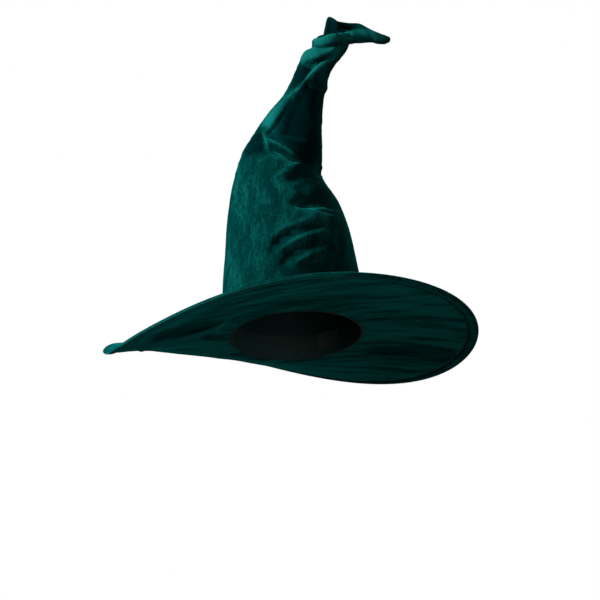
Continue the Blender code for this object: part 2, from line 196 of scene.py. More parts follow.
def foldField(across, height, folds):
    # A fold is (the across and height of each point of its line, height, width to the left, width to the
    # right, sharpness). Each adds height x exp(-(distance / width) ^ sharpness), where width goes smoothly
    # from one side's to the other's, and fades in and out over its first and last 12 mm.
    total = np.zeros_like(across)
    for line, tall, leftWidth, rightWidth, sharpness in folds:
        line = np.reshape(line, (-1, 2))
        line = catmull(line, np.linspace(0, len(line) - 1, 3 * len(line) - 2))
        steps = np.diff(line, axis=0)
        lengths = np.linalg.norm(steps, axis=1)
        runs = np.concatenate([[0], np.cumsum(lengths)])
        nearest = np.full(across.shape, 1e9)
        signed = np.zeros_like(across)
        where = np.zeros_like(across)
        for start, step, length, run in zip(line, steps, lengths, runs):
            x, y = across - start[0], height - start[1]
            t = np.clip((x * step[0] + y * step[1]) / length**2, 0, 1)
            gap = np.hypot(x - t * step[0], y - t * step[1])
            closer = gap < nearest
            nearest = np.where(closer, gap, nearest)
            leftward = (step[0] * y - step[1] * x) / (length * gap + 1e-6)
            signed = np.where(closer, leftward, signed)
            where = np.where(closer, run + t * length, where)
        width = rightWidth + (leftWidth - rightWidth) * smooth(signed, -0.6, 0.6)
        fade = smooth(where, -2, 12) * smooth(runs[-1] - where, -2, 12)
        total += tall * fade * np.exp(-((nearest / width) ** sharpness))
    return total


# The brim: a round disc with a hole, whose wired rim is bent up and down.
brim = {
    "opening": (84.7, 101.7),  # half the width and the length of the hole
    "radius": 249,
    "middle": (-7, -3.5),
    "level": 2.4,
    "lifts": ((31.5, 154.5), (27.5, 149), (6.5, 155)),  # once, twice and three times round: height, its turn
    "curl": 1.35,
    "flatReach": 0.06,
    "folds": [  # the ridge under the front and the hollow beside it
        ([-168, -149, -155, -150, -138, -147, -118, -140, -96, -131, -76, -120, -60, -102], -9.5, 10, 32, 1.3),
        ([-150, -118, -122, -112, -98, -96, -84, -74], 4, 10, 18, 1.6),
    ],
    "ends": ((7, 189, 13), (-3.2, 219, 10)),  # the far and near side of the left end: height, turn, width
    "velvet": 1.1,
    "face": 2.3,  # the velvet's outer face above the brim's middle
    "channel": 13,  # from the rim to the stitched groove
    "groove": 1.35,
    "roll": 3.4,  # height of the roll over the wire, and where it is highest
    "rollMiddle": 6.2,
    "edge": 0.15,
    "pucker": 0.3,
    "puckerPitch": 9,
    "wave": 1.1,  # height of the cloth's slow wave, and its size along and across the lean
    "waveSize": (70, 34),
    "fine": 0.22,
    "interlining": 0.9,
    "around": 560,
}


def openingRadius(turn, wider=0.0):
    # how far the oval hole, or one this much wider, is from the middle at each turn
    wide, long = (half + wider for half in brim["opening"])
    return 1 / np.hypot(np.cos(turn) / wide, np.sin(turn) / long)


def rimHeight(turn):
    # a sum of cosines that go once, twice and three times round
    waves = (lift * np.cos((k + 1) * (turn - math.radians(high))) for k, (lift, high) in enumerate(brim["lifts"]))
    return brim["level"] + sum(waves)


def brimWidth():
    return brim["radius"] - sum(brim["opening"]) / 2


def fromRim(distance):
    # reach is 0 at the hole and 1 at the rim
    return 1 - distance / brimWidth()


def brimPoints(reach, turn, height):
    # The straight line from the hole to the rim, with the rim's height growing along it as reach ^ curl, the
    # folds and the turned-up end, and a slow wave of the cloth; then height above that surface.
    ahead = np.stack([np.cos(turn), np.sin(turn)], axis=-1)
    start = ahead * openingRadius(turn)[..., None]
    across = np.array(brim["middle"]) + ahead * brim["radius"] - start
    lift = rimHeight(turn)
    across = across * np.sqrt(1 - (lift / np.linalg.norm(across, axis=-1)) ** 2)[..., None]
    flat = start + across * reach[..., None]
    bent = np.maximum(0, reach - brim["flatReach"]) / (1 - brim["flatReach"])
    folded = foldField(flat[..., 0], flat[..., 1], brim["folds"])
    for tall, where, wide in brim["ends"]:
        away = (np.degrees(turn) - where + 180) % 360 - 180
        folded = folded + tall * bell(away, wide) * bent**2
    long, short = brim["waveSize"]
    slow = layered(np.stack([flat @ side[:2] / long, flat @ fore[:2] / short, 0 * reach * turn], axis=-1), 3, 5)
    wave = brim["wave"] * slow * smooth(reach, 0.08, 0.35) * (1 - smooth(reach, 0.84, 0.92))
    level = lift * bent ** brim["curl"] + folded * smooth(bent * 3) + wave
    return np.concatenate([flat, (level + height)[..., None]], axis=-1)


def brimGrid(distance, turn, height):
    # the same for a column of distances from the rim and a row of turns
    return brimPoints(fromRim(distance) + 0 * turn, turn + 0 * distance, height)


def velvetHeight(distance):
    # flat over the stiffening, down a slope to the groove, then a round roll over the wire to the rim
    flat = brim["groove"] + (brim["face"] - brim["groove"]) * smooth(distance, 13.6, 17.5)
    middle, edge = brim["rollMiddle"], brim["edge"]
    inner = brim["channel"] - middle - 0.5
    inside = np.sqrt(np.maximum(0, 1 - (np.maximum(distance - middle, 0) / inner) ** 2))
    outside = np.sqrt(np.maximum(0, 1 - (np.maximum(middle - distance, 0) / middle) ** 2))
    rolled = brim["groove"] + (brim["roll"] - brim["groove"]) * inside
    rolled = np.where(distance < middle, edge + (brim["roll"] - edge) * outside, rolled)
    return np.where(distance < brim["channel"] - 0.5, rolled, flat)


def puckers(turn, seed):
    # small uneven gathers along a line of stitches
    pitch = brim["radius"] / brim["puckerPitch"]
    around = atTurn(turn, pitch, 0)
    return cellNoise(around, seed) + 0.5 * cellNoise(around * 2.3, seed + 1)


# Painted shade (less than 0) along the shadowed side of the ridge under the brim, and painted light on the facets
# that face the lamp, laid out in the same way as the folds.
underLightAndShade = [
    ([-172, -141, -138, -138, -112, -125, -92, -102, -82, -76], -2.6, 7, 7, 3),
    ([-182, -150, -160, -154, -138, -151, -118, -144, -96, -135, -76, -124], 2.2, 1.5, 3, 2),
    ([-195, -118, -150, -106, -124, -82, -108, -46, -100, -10], 4.5, 14, 17, 3),
    ([-215, -60, -200, 0, -170, 50], 2.5, 30, 30, 3),
    ([-214, -140, -196, -162, -168, -188, -130, -214, -80, -236, -20, -249], 2.2, 30, 20, 2.5),
    ([-60, -242, 0, -250, 60, -243, 120, -220, 170, -180], 1.5, 17, 15, 2.5),
    ([-165, -140, -120, -168, -60, -192, 10, -200, 80, -188], -1.4, 26, 26, 2),
    ([-150, -175, -110, -190, -60, -215, 0, -228, 60, -225], 0.5, 12, 8, 2),
    ([150, -120, 190, -60, 205, 20, 195, 90], 0.6, 30, 30, 2),
]


def brimVelvet(name, sign):
    # the upper velvet where sign is 1, and the under one where it is -1
    turn = evenTurns(brim["around"])[None, :]
    distance = [np.linspace(brimWidth(), 19, 78), np.linspace(18, 1.4, 34), [0.9, 0.5, 0.2, 0]]
    distance = np.concatenate(distance)[:, None]
    height = velvetHeight(distance) + 0 * turn
    gather = puckers(turn, 11 if sign > 0 else 23)
    besideStitches = bell(distance - 17, 5) + 0.8 * bell(distance - 10.5, 2.5)
    height += brim["pucker"] * gather * besideStitches * smooth(distance, 1, 5)
    if sign > 0:  # the pinched seam round the foot of the crown
        foot = brimWidth() - distance - 5
        height += -0.5 * bell(foot, 1.6) + 0.35 * puckers(turn, 31) * bell(foot - 4, 5)
    else:  # the seam where the upper velvet turns under the rim
        height -= 0.75 * bell(distance - 5.2, 0.55)
        height += 0.4 * puckers(turn, 37) * bell(brimWidth() - distance - 6, 7)
    flat = brimGrid(distance, turn, 0 * height)
    fine = layered(flat / (16, 16, 60), 3, 7 if sign > 0 else 17)
    height += brim["fine"] * fine * smooth(distance, 12, 22)
    outer = brimGrid(distance, turn, sign * height)
    back = np.concatenate([np.linspace(brimWidth(), 20, 16), [16.5, 14, 12, 9, 6, 3.5, 2, 1.5]])[:, None]
    under = np.maximum(velvetHeight(back) - brim["velvet"], 0.08) + 0 * turn
    points = wall(outer, brimGrid(back, turn, sign * under))
    # the pile: long marks across the brim; a painted highlight on the roll over the wire, painted shade in the
    # stitched groove and in a thin line near the rim; and under the brim, painted light and shade on its facets
    flow = np.stack([outer @ side / 60, outer @ fore / 9, 0 * outer[..., 0]], axis=-1)
    lines = 1.1 * layered(flow, 3, 83) + 0.9 * layered(flow / 3, 2, 85)
    lines = 1.25 * lines + 0.55 if sign < 0 else 0.6 * lines
    # painted highlight on the roll, and painted shade in the groove and near the rim
    channel = 0.5 * bell(distance - 7, 5) - 1.4 * bell(distance - 13, 1.2) - 0.8 * bell(distance - 3.6, 0.8)
    marksAndShade = lines * smooth(distance, 12, 20) + channel
    if sign < 0:
        # painted light and shade on the facets under the brim
        marksAndShade = marksAndShade + foldField(outer[..., 0], outer[..., 1], underLightAndShade)
    pile = np.zeros(points.shape[:2])
    pile[: len(outer)] = marksAndShade
    return gridPiece(name, points, brimUv(points), loop=True, flip=sign > 0, attributes={"pile": pile})


def brimUv(points):
    # the cloth lies flat before it is bent: metres across the nap and along it
    ringed = np.concatenate([points, points[:, :1]], axis=1)
    return np.stack([ringed @ fore, ringed @ side], axis=-1) * mm


brimTop = brimVelvet("brimVelvetTop", 1)
brimUnder = brimVelvet("brimVelvetUnder", -1)


def interlining():
    turn = evenTurns(brim["around"])[None, ::2]
    distance = np.linspace(brimWidth(), brim["channel"] + 4.2, 40)[:, None]
    level = brim["interlining"] + 0 * turn * distance
    points = wall(brimGrid(distance, turn, level), brimGrid(distance, turn, -level))
    return gridPiece("brimStiffening", points, brimUv(points), loop=True, flip=True)


stiffening = interlining()
print("brim made")

# Threads: each stitch is a short round bar whose ends dip into the cloth.
stitch = {"radius": 0.35, "pitch": 3.2, "length": 2.5, "sides": 6, "slices": 7}


def stitches(name, line, count, lift, dip):
    # line(turn) gives places on the cloth, and lift is the direction away from it. Along each stitch, height
    # is dip x (share ^ 4), and the radius is that of a capsule.
    turn = 2 * math.pi * np.arange(count) / count
    middle = line(turn)
    ahead = unit(line(turn + 1e-3) - line(turn - 1e-3))
    away = lift(turn, ahead)
    aside = np.cross(ahead, away)
    share = np.linspace(-1, 1, stitch["slices"])
    along = share * stitch["length"] / 2
    thick = stitch["radius"] * np.sqrt(np.maximum(1 - share**6, 0))
    angle = evenTurns(stitch["sides"])
    upward = (stitch["radius"] * 0.6 - dip * share**4)[:, None] + thick[:, None] * np.sin(angle)[None]
    out = thick[:, None] * np.cos(angle)[None]
    points = middle[:, None, None] + ahead[:, None, None] * along[None, :, None, None]
    points = points + away[:, None, None] * upward[None, ..., None] + aside[:, None, None] * out[None, ..., None]
    uv = np.stack(np.meshgrid(np.linspace(0, 1, stitch["sides"] + 1), along), axis=-1) * mm
    return gridPiece(name, points, uv, weld=True, flip=True)


def grooveStitches(name, sign):
    level = sign * (brim["groove"] + 0.1)

    def line(turn):
        return brimPoints(fromRim(brim["channel"]) + 0 * turn, turn, level + 0 * turn)

    def lift(turn, ahead):
        inner = brimPoints(fromRim(brim["channel"] + 3) + 0 * turn, turn, level + 0 * turn)
        away = np.cross(ahead, inner - line(turn))
        return unit(away * sign * np.sign(away[:, 2:]))

    count = round(2 * math.pi * (brim["radius"] - brim["channel"]) / stitch["pitch"])
    return stitches(name, line, count, lift, 0.55)


stitchTop = grooveStitches("topstitchUpper", 1)
stitchUnder = grooveStitches("topstitchUnder", -1)


# The bands inside the opening: their edges, and how far out and how thick each is.
band = {
    "low": -2.3,
    "tapeHigh": 8.7,
    "high": 29.7,
    "tapeOut": -0.3,
    "tape": 0.9,
    "ribbonOut": -1.5,
    "ribbon": 1.2,
    "ribs": 500,
    "rib": 0.14,
    "seamUp": 4.35,  # from the lower edge to the ribbon's stitches
    "stitches": 170,
}


def ovalBand(name, out, thick, low, high, columns, rows, ribs=0.0, seed=0):
    # an upright oval strip, ribbed as a row of half sines, whose top edge waves a little
    turn = evenTurns(columns, math.pi / 2)[None, :]
    share = np.linspace(0, 1, rows)[:, None]
    sway = layered(atTurn(turn, 3, 0), 2, seed) * 0.25
    height = low + (high - low) * share + sway * share**2
    ribbed = ribs * (np.abs(np.sin(np.arange(columns) * math.pi / 4))[None] - 0.5)
    edge = 0.12 * (bell(share, 0.05) + bell(share - 1, 0.05))  # the woven edges are a little thicker
    faces = []
    for offset, sign in ((out, 1), (out - thick, -1)):
        reach = openingRadius(turn, offset + sign * (ribbed + edge) - np.abs(sway) * share**2 * 0.5)
        faces.append(atTurn(turn, reach, height))
    uv = clothUv(faces[0])
    return gridPiece(name, wall(*faces), wall(uv, uv), loop=True)


tape = ovalBand("seamTape", band["tapeOut"], band["tape"], band["low"], band["tapeHigh"], 480, 8, seed=3)
ribbon = (band["ribbonOut"], band["ribbon"], band["low"], band["high"])
sweatband = ovalBand("sweatbandRibbon", *ribbon, band["ribs"] * 4, 9, band["rib"], 9)


def bandLine(turn):
    reach = openingRadius(turn, band["ribbonOut"] - band["ribbon"] - 0.1)
    return atTurn(turn, reach, band["low"] + band["seamUp"])


def bandLift(turn, ahead):
    away = np.cross(ahead, up)
    return away * -np.sign(np.sum(away * bandLine(turn), axis=-1, keepdims=True))


bandStitch = stitches("sweatbandStitch", bandLine, band["stitches"], bandLift, 0.5)

# The label: a strip folded in half, sewn in by its upper edge, whose fold hangs a little free.
label = {"width": 30, "height": 22, "leaf": 0.45, "top": 29.4, "free": 1.1, "rows": 14, "bend": 88}


def makeLabel():
    across = np.linspace(-1, 1, 25)[None, :]
    # down the front leaf, round the fold and up the back leaf
    down = np.linspace(0, 1, label["rows"])
    drop = np.concatenate([down, np.linspace(1, 0, label["rows"])])[:, None]
    inward = np.concatenate([0 * down + label["leaf"], 0 * down])[:, None]
    faces = []
    for sign in (1, -1):
        thick = sign * label["leaf"] / 2 * np.sqrt(1 - across**30)  # the two faces meet at the sides
        depth = inward + thick + 0.35 + label["free"] * (drop**3 + 0.25 * np.abs(across) ** 3 * drop**2)
        turn = math.pi / 2 - across * label["width"] / 2 / label["bend"]
        reach = openingRadius(turn, band["ribbonOut"] - band["ribbon"] - depth)
        height = label["top"] - drop * label["height"] - thick * smooth(drop, 0.9, 1)
        faces.append(atTurn(turn, reach, height))
    points = wall(*faces)
    u = np.broadcast_to(across * label["width"] / 2, points.shape[:2])
    v = np.broadcast_to(np.concatenate([drop, drop[::-1]]) * label["height"], points.shape[:2])
    return gridPiece("careLabel", points, np.stack([u, v], axis=-1) * mm, ring=False, loop=True, weld=True)


careLabel = makeLabel()
print("bands made")

# The crown. Each row is a section across the lean: side and height of its left end, of its right end, how
# far its middle lies to the fore, and half its depth.
crown = {
    "sections": [
        (-92.5, 0, 92.5, 0, 0, 103),
        (-92, 42, 92.5, 42, 0, 102),
        (-86, 85, 89, 85, 1, 94),
        (-80, 127, 86.5, 127, 2, 87),
        (-72, 170, 78, 168, 3, 77),
        (-61, 212, 65, 194, 4, 66),
        (-44, 252, 58, 212, 5, 57),
        (-25, 279, 62, 240, 5, 50),
        (-6, 303, 66, 281, 5, 42),
        (21, 331, 73, 321, 4, 31),
        (37, 357, 84, 352, 4, 26),
        (48, 377, 96, 369, 4, 24),
        (54, 385, 108, 383, 3, 23),
        (64, 391, 113, 390, 3, 22),
        (68, 400, 115, 394, 2, 21),
        (74, 406, 116.5, 394, 2, 19),
        (81, 408, 118, 394, 2, 18.5),
        (84.5, 417, 120, 393.5, 1, 18),
        (91, 433, 123, 393.5, 1, 17),
        (101, 426, 128, 393, 1, 16),
        (115, 422, 135, 393, 0, 14),
        (130, 419.5, 141, 392.5, 0, 12),
        (138, 415, 146, 392, -1, 10.5),
        (148, 407.5, 151, 389.5, -1, 9),
        (156.5, 402.5, 156.5, 388.5, -2, 7.6),
        (163, 400, 161.5, 388, -2, 6.8),
        (167, 397.5, 166, 389.5, -2, 5.6),
    ],
    "oval": (0.7, 3.0),  # the sections between which the brim's oval becomes theirs
    "wall": 4.3,  # from the outside of the velvet to the inside of the lining
    "velvet": 1.1,
    "start": 0.09,  # the velvet's first section, the one where its lower and upper pieces meet, and the last
    "split": 8.7,
    "tip": 26.0,
    "lowRows": 212,
    "highRows": 180,
    "columns": 300,
    "wrinkles": ((6.2, 1.3, 1.0), (12.5, 3, 0.9)),  # round each bend: section, spread and share
    "wrinkle": 1.3,
    "crumple": 0.45,
    "seam": 0.9,
    "crease": ((7, 232), (0.365, 0.931), 40),  # middle of the lower bend, its direction, and half its length
    "tipBend": ((81, 383), (0.62, 0.78), 22),
}

# The folds of the front, where a height less than 0 is a valley. Their lines run across and along rise.
frontFolds = [
    # the long twisted edge below the knuckles, and the panel beside it
    ([101, 361, 90, 356, 78, 351, 66, 346, 56, 339, 46, 331, 37, 325, 28, 318, 24, 313], 4, 14, 2.2, 1.3),
    ([70, 349, 56, 340, 46, 332, 37, 326, 28, 319, 20, 313], -8, 1.6, 15, 1.6),
    # the edge of the big facet at the right
    ([46, 331, 36, 320, 22, 302, 14, 291, 9, 283, 1, 276, -5, 268, -7, 262], -5, 16, 3, 1.6),
    ([66, 334, 52, 318, 42, 302, 33, 287, 24, 270, 18, 258], -8, 26, 14, 2.0),
    # the knee, and the hollow to the left of it
    ([-12, 278, -12, 266, -9, 257, -7, 250, -4, 242], 5, 4, 2.2, 1.4),
    ([-18, 277, -15, 265, -13, 254, -10, 245, -6, 236], -8, 2, 15, 1.6),
    # the shelf from the knee to the notch
    ([-10, 266, 2, 258, 11, 252, 21, 245, 28, 238, 35, 229, 47, 214, 60, 199], -6, 12, 2, 1.5),
    ([-8, 258, 3, 251, 12, 245, 21, 239, 31, 230], 3.5, 5, 5, 2.2),
    ([-5, 247, 5, 241, 13, 236, 20, 229, 27, 223], -4, 2.8, 2.8, 1.8),
    ([-8, 243, 6, 234, 15, 227, 23, 220, 36, 222], 4, 4, 9, 1.5),
    ([-8, 205, 7, 212, 17, 214, 30, 220], 3, 4, 5, 1.5),
    ([8, 207, 20, 204, 34, 204], -4.5, 3.5, 5, 1.5),
    ([20, 196, 30, 189, 36, 180], -4, 10, 4, 1.6),
    # the pocket at the right and its lip
    ([14, 178, 23, 168, 33, 166, 44, 166, 55, 164, 65, 161, 78, 157], -6.5, 15, 3, 1.6),
    ([12, 166, 28, 162, 38, 158, 47, 153, 58, 149, 74, 145], 3.5, 3, 10, 1.6),
    ([47, 158, 60, 163, 74, 169], 2.5, 5, 5, 1.6),
    # two soft folds low on the crown
    ([-24, 118, -8, 134, 4, 140, 21, 143, 37, 146, 52, 147], 4, 10, 4.5, 1.6),
    ([-25, 108, -10, 124, -2, 130, 10, 134, 23, 137, 36, 139, 58, 143], -5, 4.5, 7, 1.6),
    ([-14, 106, 2, 117, 15, 122, 28, 126, 43, 128, 62, 131], 4, 6, 4, 1.6),
    ([-12, 90, 3, 103, 15, 108, 26, 112, 38, 115, 58, 119], -4.5, 4.5, 8, 1.6),
    ([2, 89, 22, 98, 35, 103, 52, 105], 3, 6, 5, 1.4),
    ([24, 89, 37, 90, 49, 88], 2, 2.2, 2.2, 1.4),
    # marks at the left
    ([-70, 184, -55, 189, -40, 192], -3, 2.5, 3, 1.4),
    ([-56, 172, -35, 171, -20, 167, 6, 160], 1.6, 3, 3, 1.4),
    # the tip: the crease under the knuckles, the knuckles, the band, and the panel above it
    ([118, 376, 103, 368, 94, 363, 81, 357, 67, 352, 55, 354, 46, 352], -7, 8, 2.2, 1.5),
    ([46, 358, 58, 365, 67, 365, 78, 362, 88, 363, 102, 371], 4.5, 4, 4, 1.5),
    ([50, 354, 60, 357, 70, 353], -3, 2, 2, 1.4),
    ([68, 374, 86, 372, 99, 371, 113, 373], -4, 2.5, 3, 1.5),
    ([62, 374, 71, 378, 83, 381, 100, 383, 117, 383, 133, 381, 149, 378, 163, 372], 5, 6, 6, 2.0),
    ([96, 379, 117, 380, 135, 377, 152, 373], -2.5, 2, 2, 1.4),
    ([72, 383, 82, 385, 91, 387, 104, 388, 114, 389, 121, 392, 132, 398], -11, 26, 1.6, 2.0),
    ([142, 378, 150, 376, 162, 371], -2, 2, 2, 1.5),
]
# Painted shade (less than 0) on the front's facets and hollows that face away from the lamp, and painted light on
# its lit ridges and bands.
frontLightAndShade = [
    ([62, 330, 48, 314, 34, 298, 26, 278, 28, 262, 40, 246, 60, 222], -1.9, 32, 17, 2.2),
    ([62, 351, 50, 343, 40, 336, 30, 328, 16, 316], -3.0, 1.5, 16, 2.5),
    ([-19, 276, -24, 260, -18, 244], -3.0, 5.5, 20, 3),
    ([76, 388, 90, 393, 104, 394, 118, 394, 132, 398], -3.2, 24, 5, 3),
    ([24, 174, 44, 173, 62, 172], -0.8, 13, 5, 2.5),
    ([12, 209, 30, 206], -0.6, 5, 6, 2),
    ([-16, 116, 2, 129, 24, 136, 46, 140], -0.9, 4, 5, 2),
    ([0, 98, 20, 109, 46, 116], -0.8, 4, 5, 2),
    ([50, 352, 62, 354, 80, 357, 98, 364], -2.4, 3, 2, 2),
    ([108, 368, 94, 359, 78, 351, 60, 341, 46, 331, 34, 321], 3.0, 3.5, 2.5, 2.0),
    ([46, 334, 26, 312, 12, 296, 0, 284, -9, 272], 1.8, 3, 8, 3),
    ([-10, 272, -10, 258, -5, 246], 1.5, 3, 1.5, 2),
    ([-6, 260, 4, 252, 14, 245, 24, 237, 34, 228], 1.6, 3, 3, 2),
    ([-6, 252, 6, 244, 16, 236, 26, 228], -1.4, 1.6, 1.6, 2),
    ([-4, 240, 8, 233, 18, 226, 30, 221], 1.1, 2, 5, 2),
    ([14, 165, 28, 162, 46, 154, 68, 147], 1.8, 1.6, 3, 2),
    ([-16, 124, 4, 139, 24, 143, 44, 146], 1.0, 5, 3, 2),
    ([-6, 112, 16, 122, 36, 127, 56, 130], 1.0, 4, 3, 2),
    ([8, 93, 26, 99, 46, 104], 0.8, 4, 3, 2),
    ([66, 377, 84, 382, 104, 384, 126, 384, 150, 380, 164, 374], 1.8, 5, 8, 3),
    ([40, 348, 48, 361, 62, 366, 78, 364, 98, 368], 3.4, 6, 7, 2.5),
    ([66, 373, 84, 371, 100, 371], -1.4, 2, 2, 2),
]
# The folds of the back, whose lines run across and upwards.
backFolds = [
    ([60, 210, 40, 222, 20, 232, 0, 238, -22, 240], -7, 4, 12, 1.3),
    ([56, 200, 38, 210, 18, 219, -4, 224, -26, 224], 5, 4, 9, 1.4),
    ([52, 224, 34, 238, 16, 250, -2, 258, -20, 262], 5, 8, 4, 1.4),
    ([66, 186, 48, 190, 28, 196, 8, 199], -5, 3, 9, 1.4),
    ([-50, 200, -36, 192, -20, 190, -4, 184], 4, 7, 4, 1.4),
    ([72, 300, 58, 290, 42, 286, 26, 284, 8, 288], 4, 8, 4, 1.4),
    ([76, 322, 62, 316, 46, 318, 30, 322], -5, 4, 8, 1.4),
    ([84, 344, 68, 338, 54, 342, 38, 350], 5, 7, 4, 1.4),
    ([100, 372, 84, 362, 68, 362, 52, 368], -5, 3, 7, 1.4),
    ([70, 120, 50, 128, 26, 130, 4, 124], 4, 8, 5, 1.4),
    ([64, 104, 44, 113, 22, 114, 2, 110], -4, 4, 8, 1.4),
    ([-60, 96, -44, 108, -24, 114, -8, 112], 3, 8, 5, 1.4),
    ([120, 398, 108, 404, 98, 412, 92, 420], -4, 3, 7, 1.4),
]


def sectionFrame(sections, at):
    # from each section's two ends: its middle, half its width as a vector, and what else its row holds
    left, low, right, high, forward, *more = catmull(sections, at).T
    outer = left[:, None] * side + low[:, None] * up
    inner = right[:, None] * side + high[:, None] * up
    return (outer + inner) / 2 + forward[:, None] * fore, (inner - outer) / 2, *more


def crownTurns(count):
    # a row of turns from the back seam on, closer beside the seam and at the front
    radius = 95
    near = np.array([0, 0.5, 1, 1.6, 2.4, 3.4, 4.6]) / radius
    share = np.linspace(0, 1, count)
    share = share - 0.05 * np.sin(4 * math.pi * share) / 2 + 0.06 * np.sin(2 * math.pi * share)
    even = 6.2 / radius + share * (2 * math.pi - 12.4 / radius)
    return math.pi / 2 + np.concatenate([near, even, 2 * math.pi - near[:0:-1]])


def crownBase(at, turn):
    # an ellipse across the lean at each section, which starts as the oval of the brim's hole, wider by the wall
    middle, half, depth = sectionFrame(crown["sections"], at)
    angle = turn - leanTurn
    folded = half[:, None] * np.cos(angle)[None, :, None] - fore * (depth[:, None] * np.sin(angle))[..., None]
    oval = atTurn(turn, openingRadius(turn, crown["wall"]), 0)
    share = smooth(at, *crown["oval"])[:, None, None]
    return middle[:, None] + oval[None] * (1 - share) + folded * share


def crownMove(at, turn, points, normals):
    # how far each point stands off the plain crown: folds, wrinkles of the two bends, crumples, the back seam,
    # and the turned-in foot
    across, height = points @ side, points[..., 2]
    facing = normals @ sight
    front = smooth(facing, 0.0, 0.4)
    behind = smooth(-(normals @ fore), 0.05, 0.5)
    depth = catmull(crown["sections"], at)[:, 5][:, None]
    sunk = [fold for fold in frontFolds if fold[1] < 0]
    raised = [fold for fold in frontFolds if fold[1] > 0]
    move = foldField(across, points @ rise, raised) * front
    move += foldField(across, points @ rise, sunk) * smooth(facing, -0.05, 0.3)
    move += foldField(across, height, backFolds) * behind
    rows = at[:, None]
    bends = sum(share * bell(rows - row, spread) for row, spread, share in crown["wrinkles"])
    creased = 1 - 2 * np.abs(layered(points / (36, 36, 13), 2, 41))
    move += crown["wrinkle"] * bends * smooth(creased, 0.1, 1) * (1 - 0.75 * front)
    move += crown["crumple"] * layered(points / (30, 30, 38), 4, 43) * smooth(rows, 0.1, 1.2)
    seam = np.abs((turn - math.pi / 2 + math.pi) % (2 * math.pi) - math.pi) * np.minimum(depth, 100)
    pull = cellNoise(np.stack([0 * seam + 3, 0 * seam, height / 7], axis=-1), 47)
    move += (0.3 * pull * bell(seam - 4, 4) - crown["seam"] * bell(seam, 1.0)) * (1 - smooth(rows, 22, 24))
    move = move * np.minimum(1, depth / 18)  # all of it gets smaller as the crown gets thin
    foot = height - 2.2
    gather = 0.35 * puckers(turn[None, :], 53) * bell(foot - 5, 6)
    turnedIn = crown["seam"] * np.exp(-np.maximum(foot, 0) / 1.5)
    return move + (gather - turnedIn) * (1 - smooth(rows, 0.5, 1))


def crownSurface(start, end, rows):
    # the velvet's outer face, with the painted light and shade of its front
    at, turn = np.linspace(start, end, rows), crownTurns(crown["columns"])
    points = crownBase(at, turn)
    normals = gridNormals(points)
    moved = points + normals * crownMove(at, turn, points, normals)[..., None]
    pile = np.clip(foldField(points @ side, points @ rise, frontLightAndShade), -3, 2.2)
    # the painted light and shade is kept to the faces turned towards the front
    pile = pile * smooth(normals @ sight, -0.1, 0.45)
    return relax(moved, 1, 0.4), relax(pile[..., None], 14)[..., 0]


def crownNose(points, rows, length):
    # rounds the last ring off to a point: its size falls as a cosine and it moves on as a sine
    ring, middle = points[-1], points[-1].mean(axis=0)
    ahead = unit(middle - points[-6].mean(axis=0))
    angle = np.linspace(0, math.pi / 2, rows + 1)[1:, None, None]
    nose = middle + (ring - middle)[None] * np.cos(angle) + ahead * length * np.sin(angle)
    return np.concatenate([points, nose])


def thickCrown(name, outer, pile, every, closed=False):
    # the outer face and, a velvet's thickness inside it, a plainer inner face with every so many of its rows
    eased = relax(outer, 6)
    inner = eased - gridNormals(eased) * crown["velvet"]
    inner = np.concatenate([inner[::every], inner[-1:]])
    inner[0] = outer[0] - gridNormals(outer)[0] * crown["velvet"]
    uv = clothUv(outer)
    innerUv = np.concatenate([uv[::every], uv[-1:]])
    if closed:
        outer = crownNose(outer, 5, 3.0)
        uv = np.concatenate([uv, uv[[-1] * 5] + np.array([0, 0.001]) * np.arange(1, 6)[:, None, None]])
        inner = crownNose(inner[:-1], 4, 1.5)
        innerUv = np.concatenate([innerUv[:-1], innerUv[[-1] * 4]])
    # painted light and shade on the outer face only
    paintedLightAndShade = np.zeros((len(outer) + len(inner), outer.shape[1]))
    paintedLightAndShade[: len(pile)] = pile
    uv = wall(uv, innerUv)
    return gridPiece(name, wall(outer, inner), uv, loop=True, weld=closed, attributes={"pile": paintedLightAndShade})


lowPoints, lowLightAndShade = crownSurface(crown["start"], crown["split"], crown["lowRows"])
highPoints, highLightAndShade = crownSurface(crown["split"], crown["tip"], crown["highRows"])
highPoints[0] = lowPoints[-1]
crownLow = thickCrown("crownVelvetLow", lowPoints, lowLightAndShade, 6)
crownHigh = thickCrown("crownVelvetHigh", highPoints, highLightAndShade, 4, closed=True)


def innerCrown(name, start, end, rows, depth, thick):
    # a layer inside the velvet: as deep as the deepest fold near it, and smoother
    at, turn = np.linspace(start, end, rows), crownTurns(150)
    points = crownBase(at, turn)
    normals = gridNormals(points)
    move = np.minimum(crownMove(at, turn, points, normals), 0)
    for _ in range(2):  # spreads each valley to its neighbours
        move = np.minimum.reduce([np.roll(move, k, 1) for k in range(-2, 3)])
        move[1:-1] = np.minimum.reduce([move[:-2], move[1:-1], move[2:]])
    soft = relax(move[..., None], 4)[..., 0]
    soft = soft - 0.4 + np.minimum(0.4 * layered(points / 22, 2, 61), 0)
    outer, inner = (points + normals * (soft - deep)[..., None] for deep in (depth, depth + thick))
    return gridPiece(name, wall(outer, inner), wall(clothUv(outer), clothUv(outer)), loop=True)


foam = innerCrown("crownPadding", 0.1, 4.0, 90, 1.2, 1.9)
lining = innerCrown("crownLining", 0.1, 10.3, 200, 3.5, 0.6)
print("crown made")

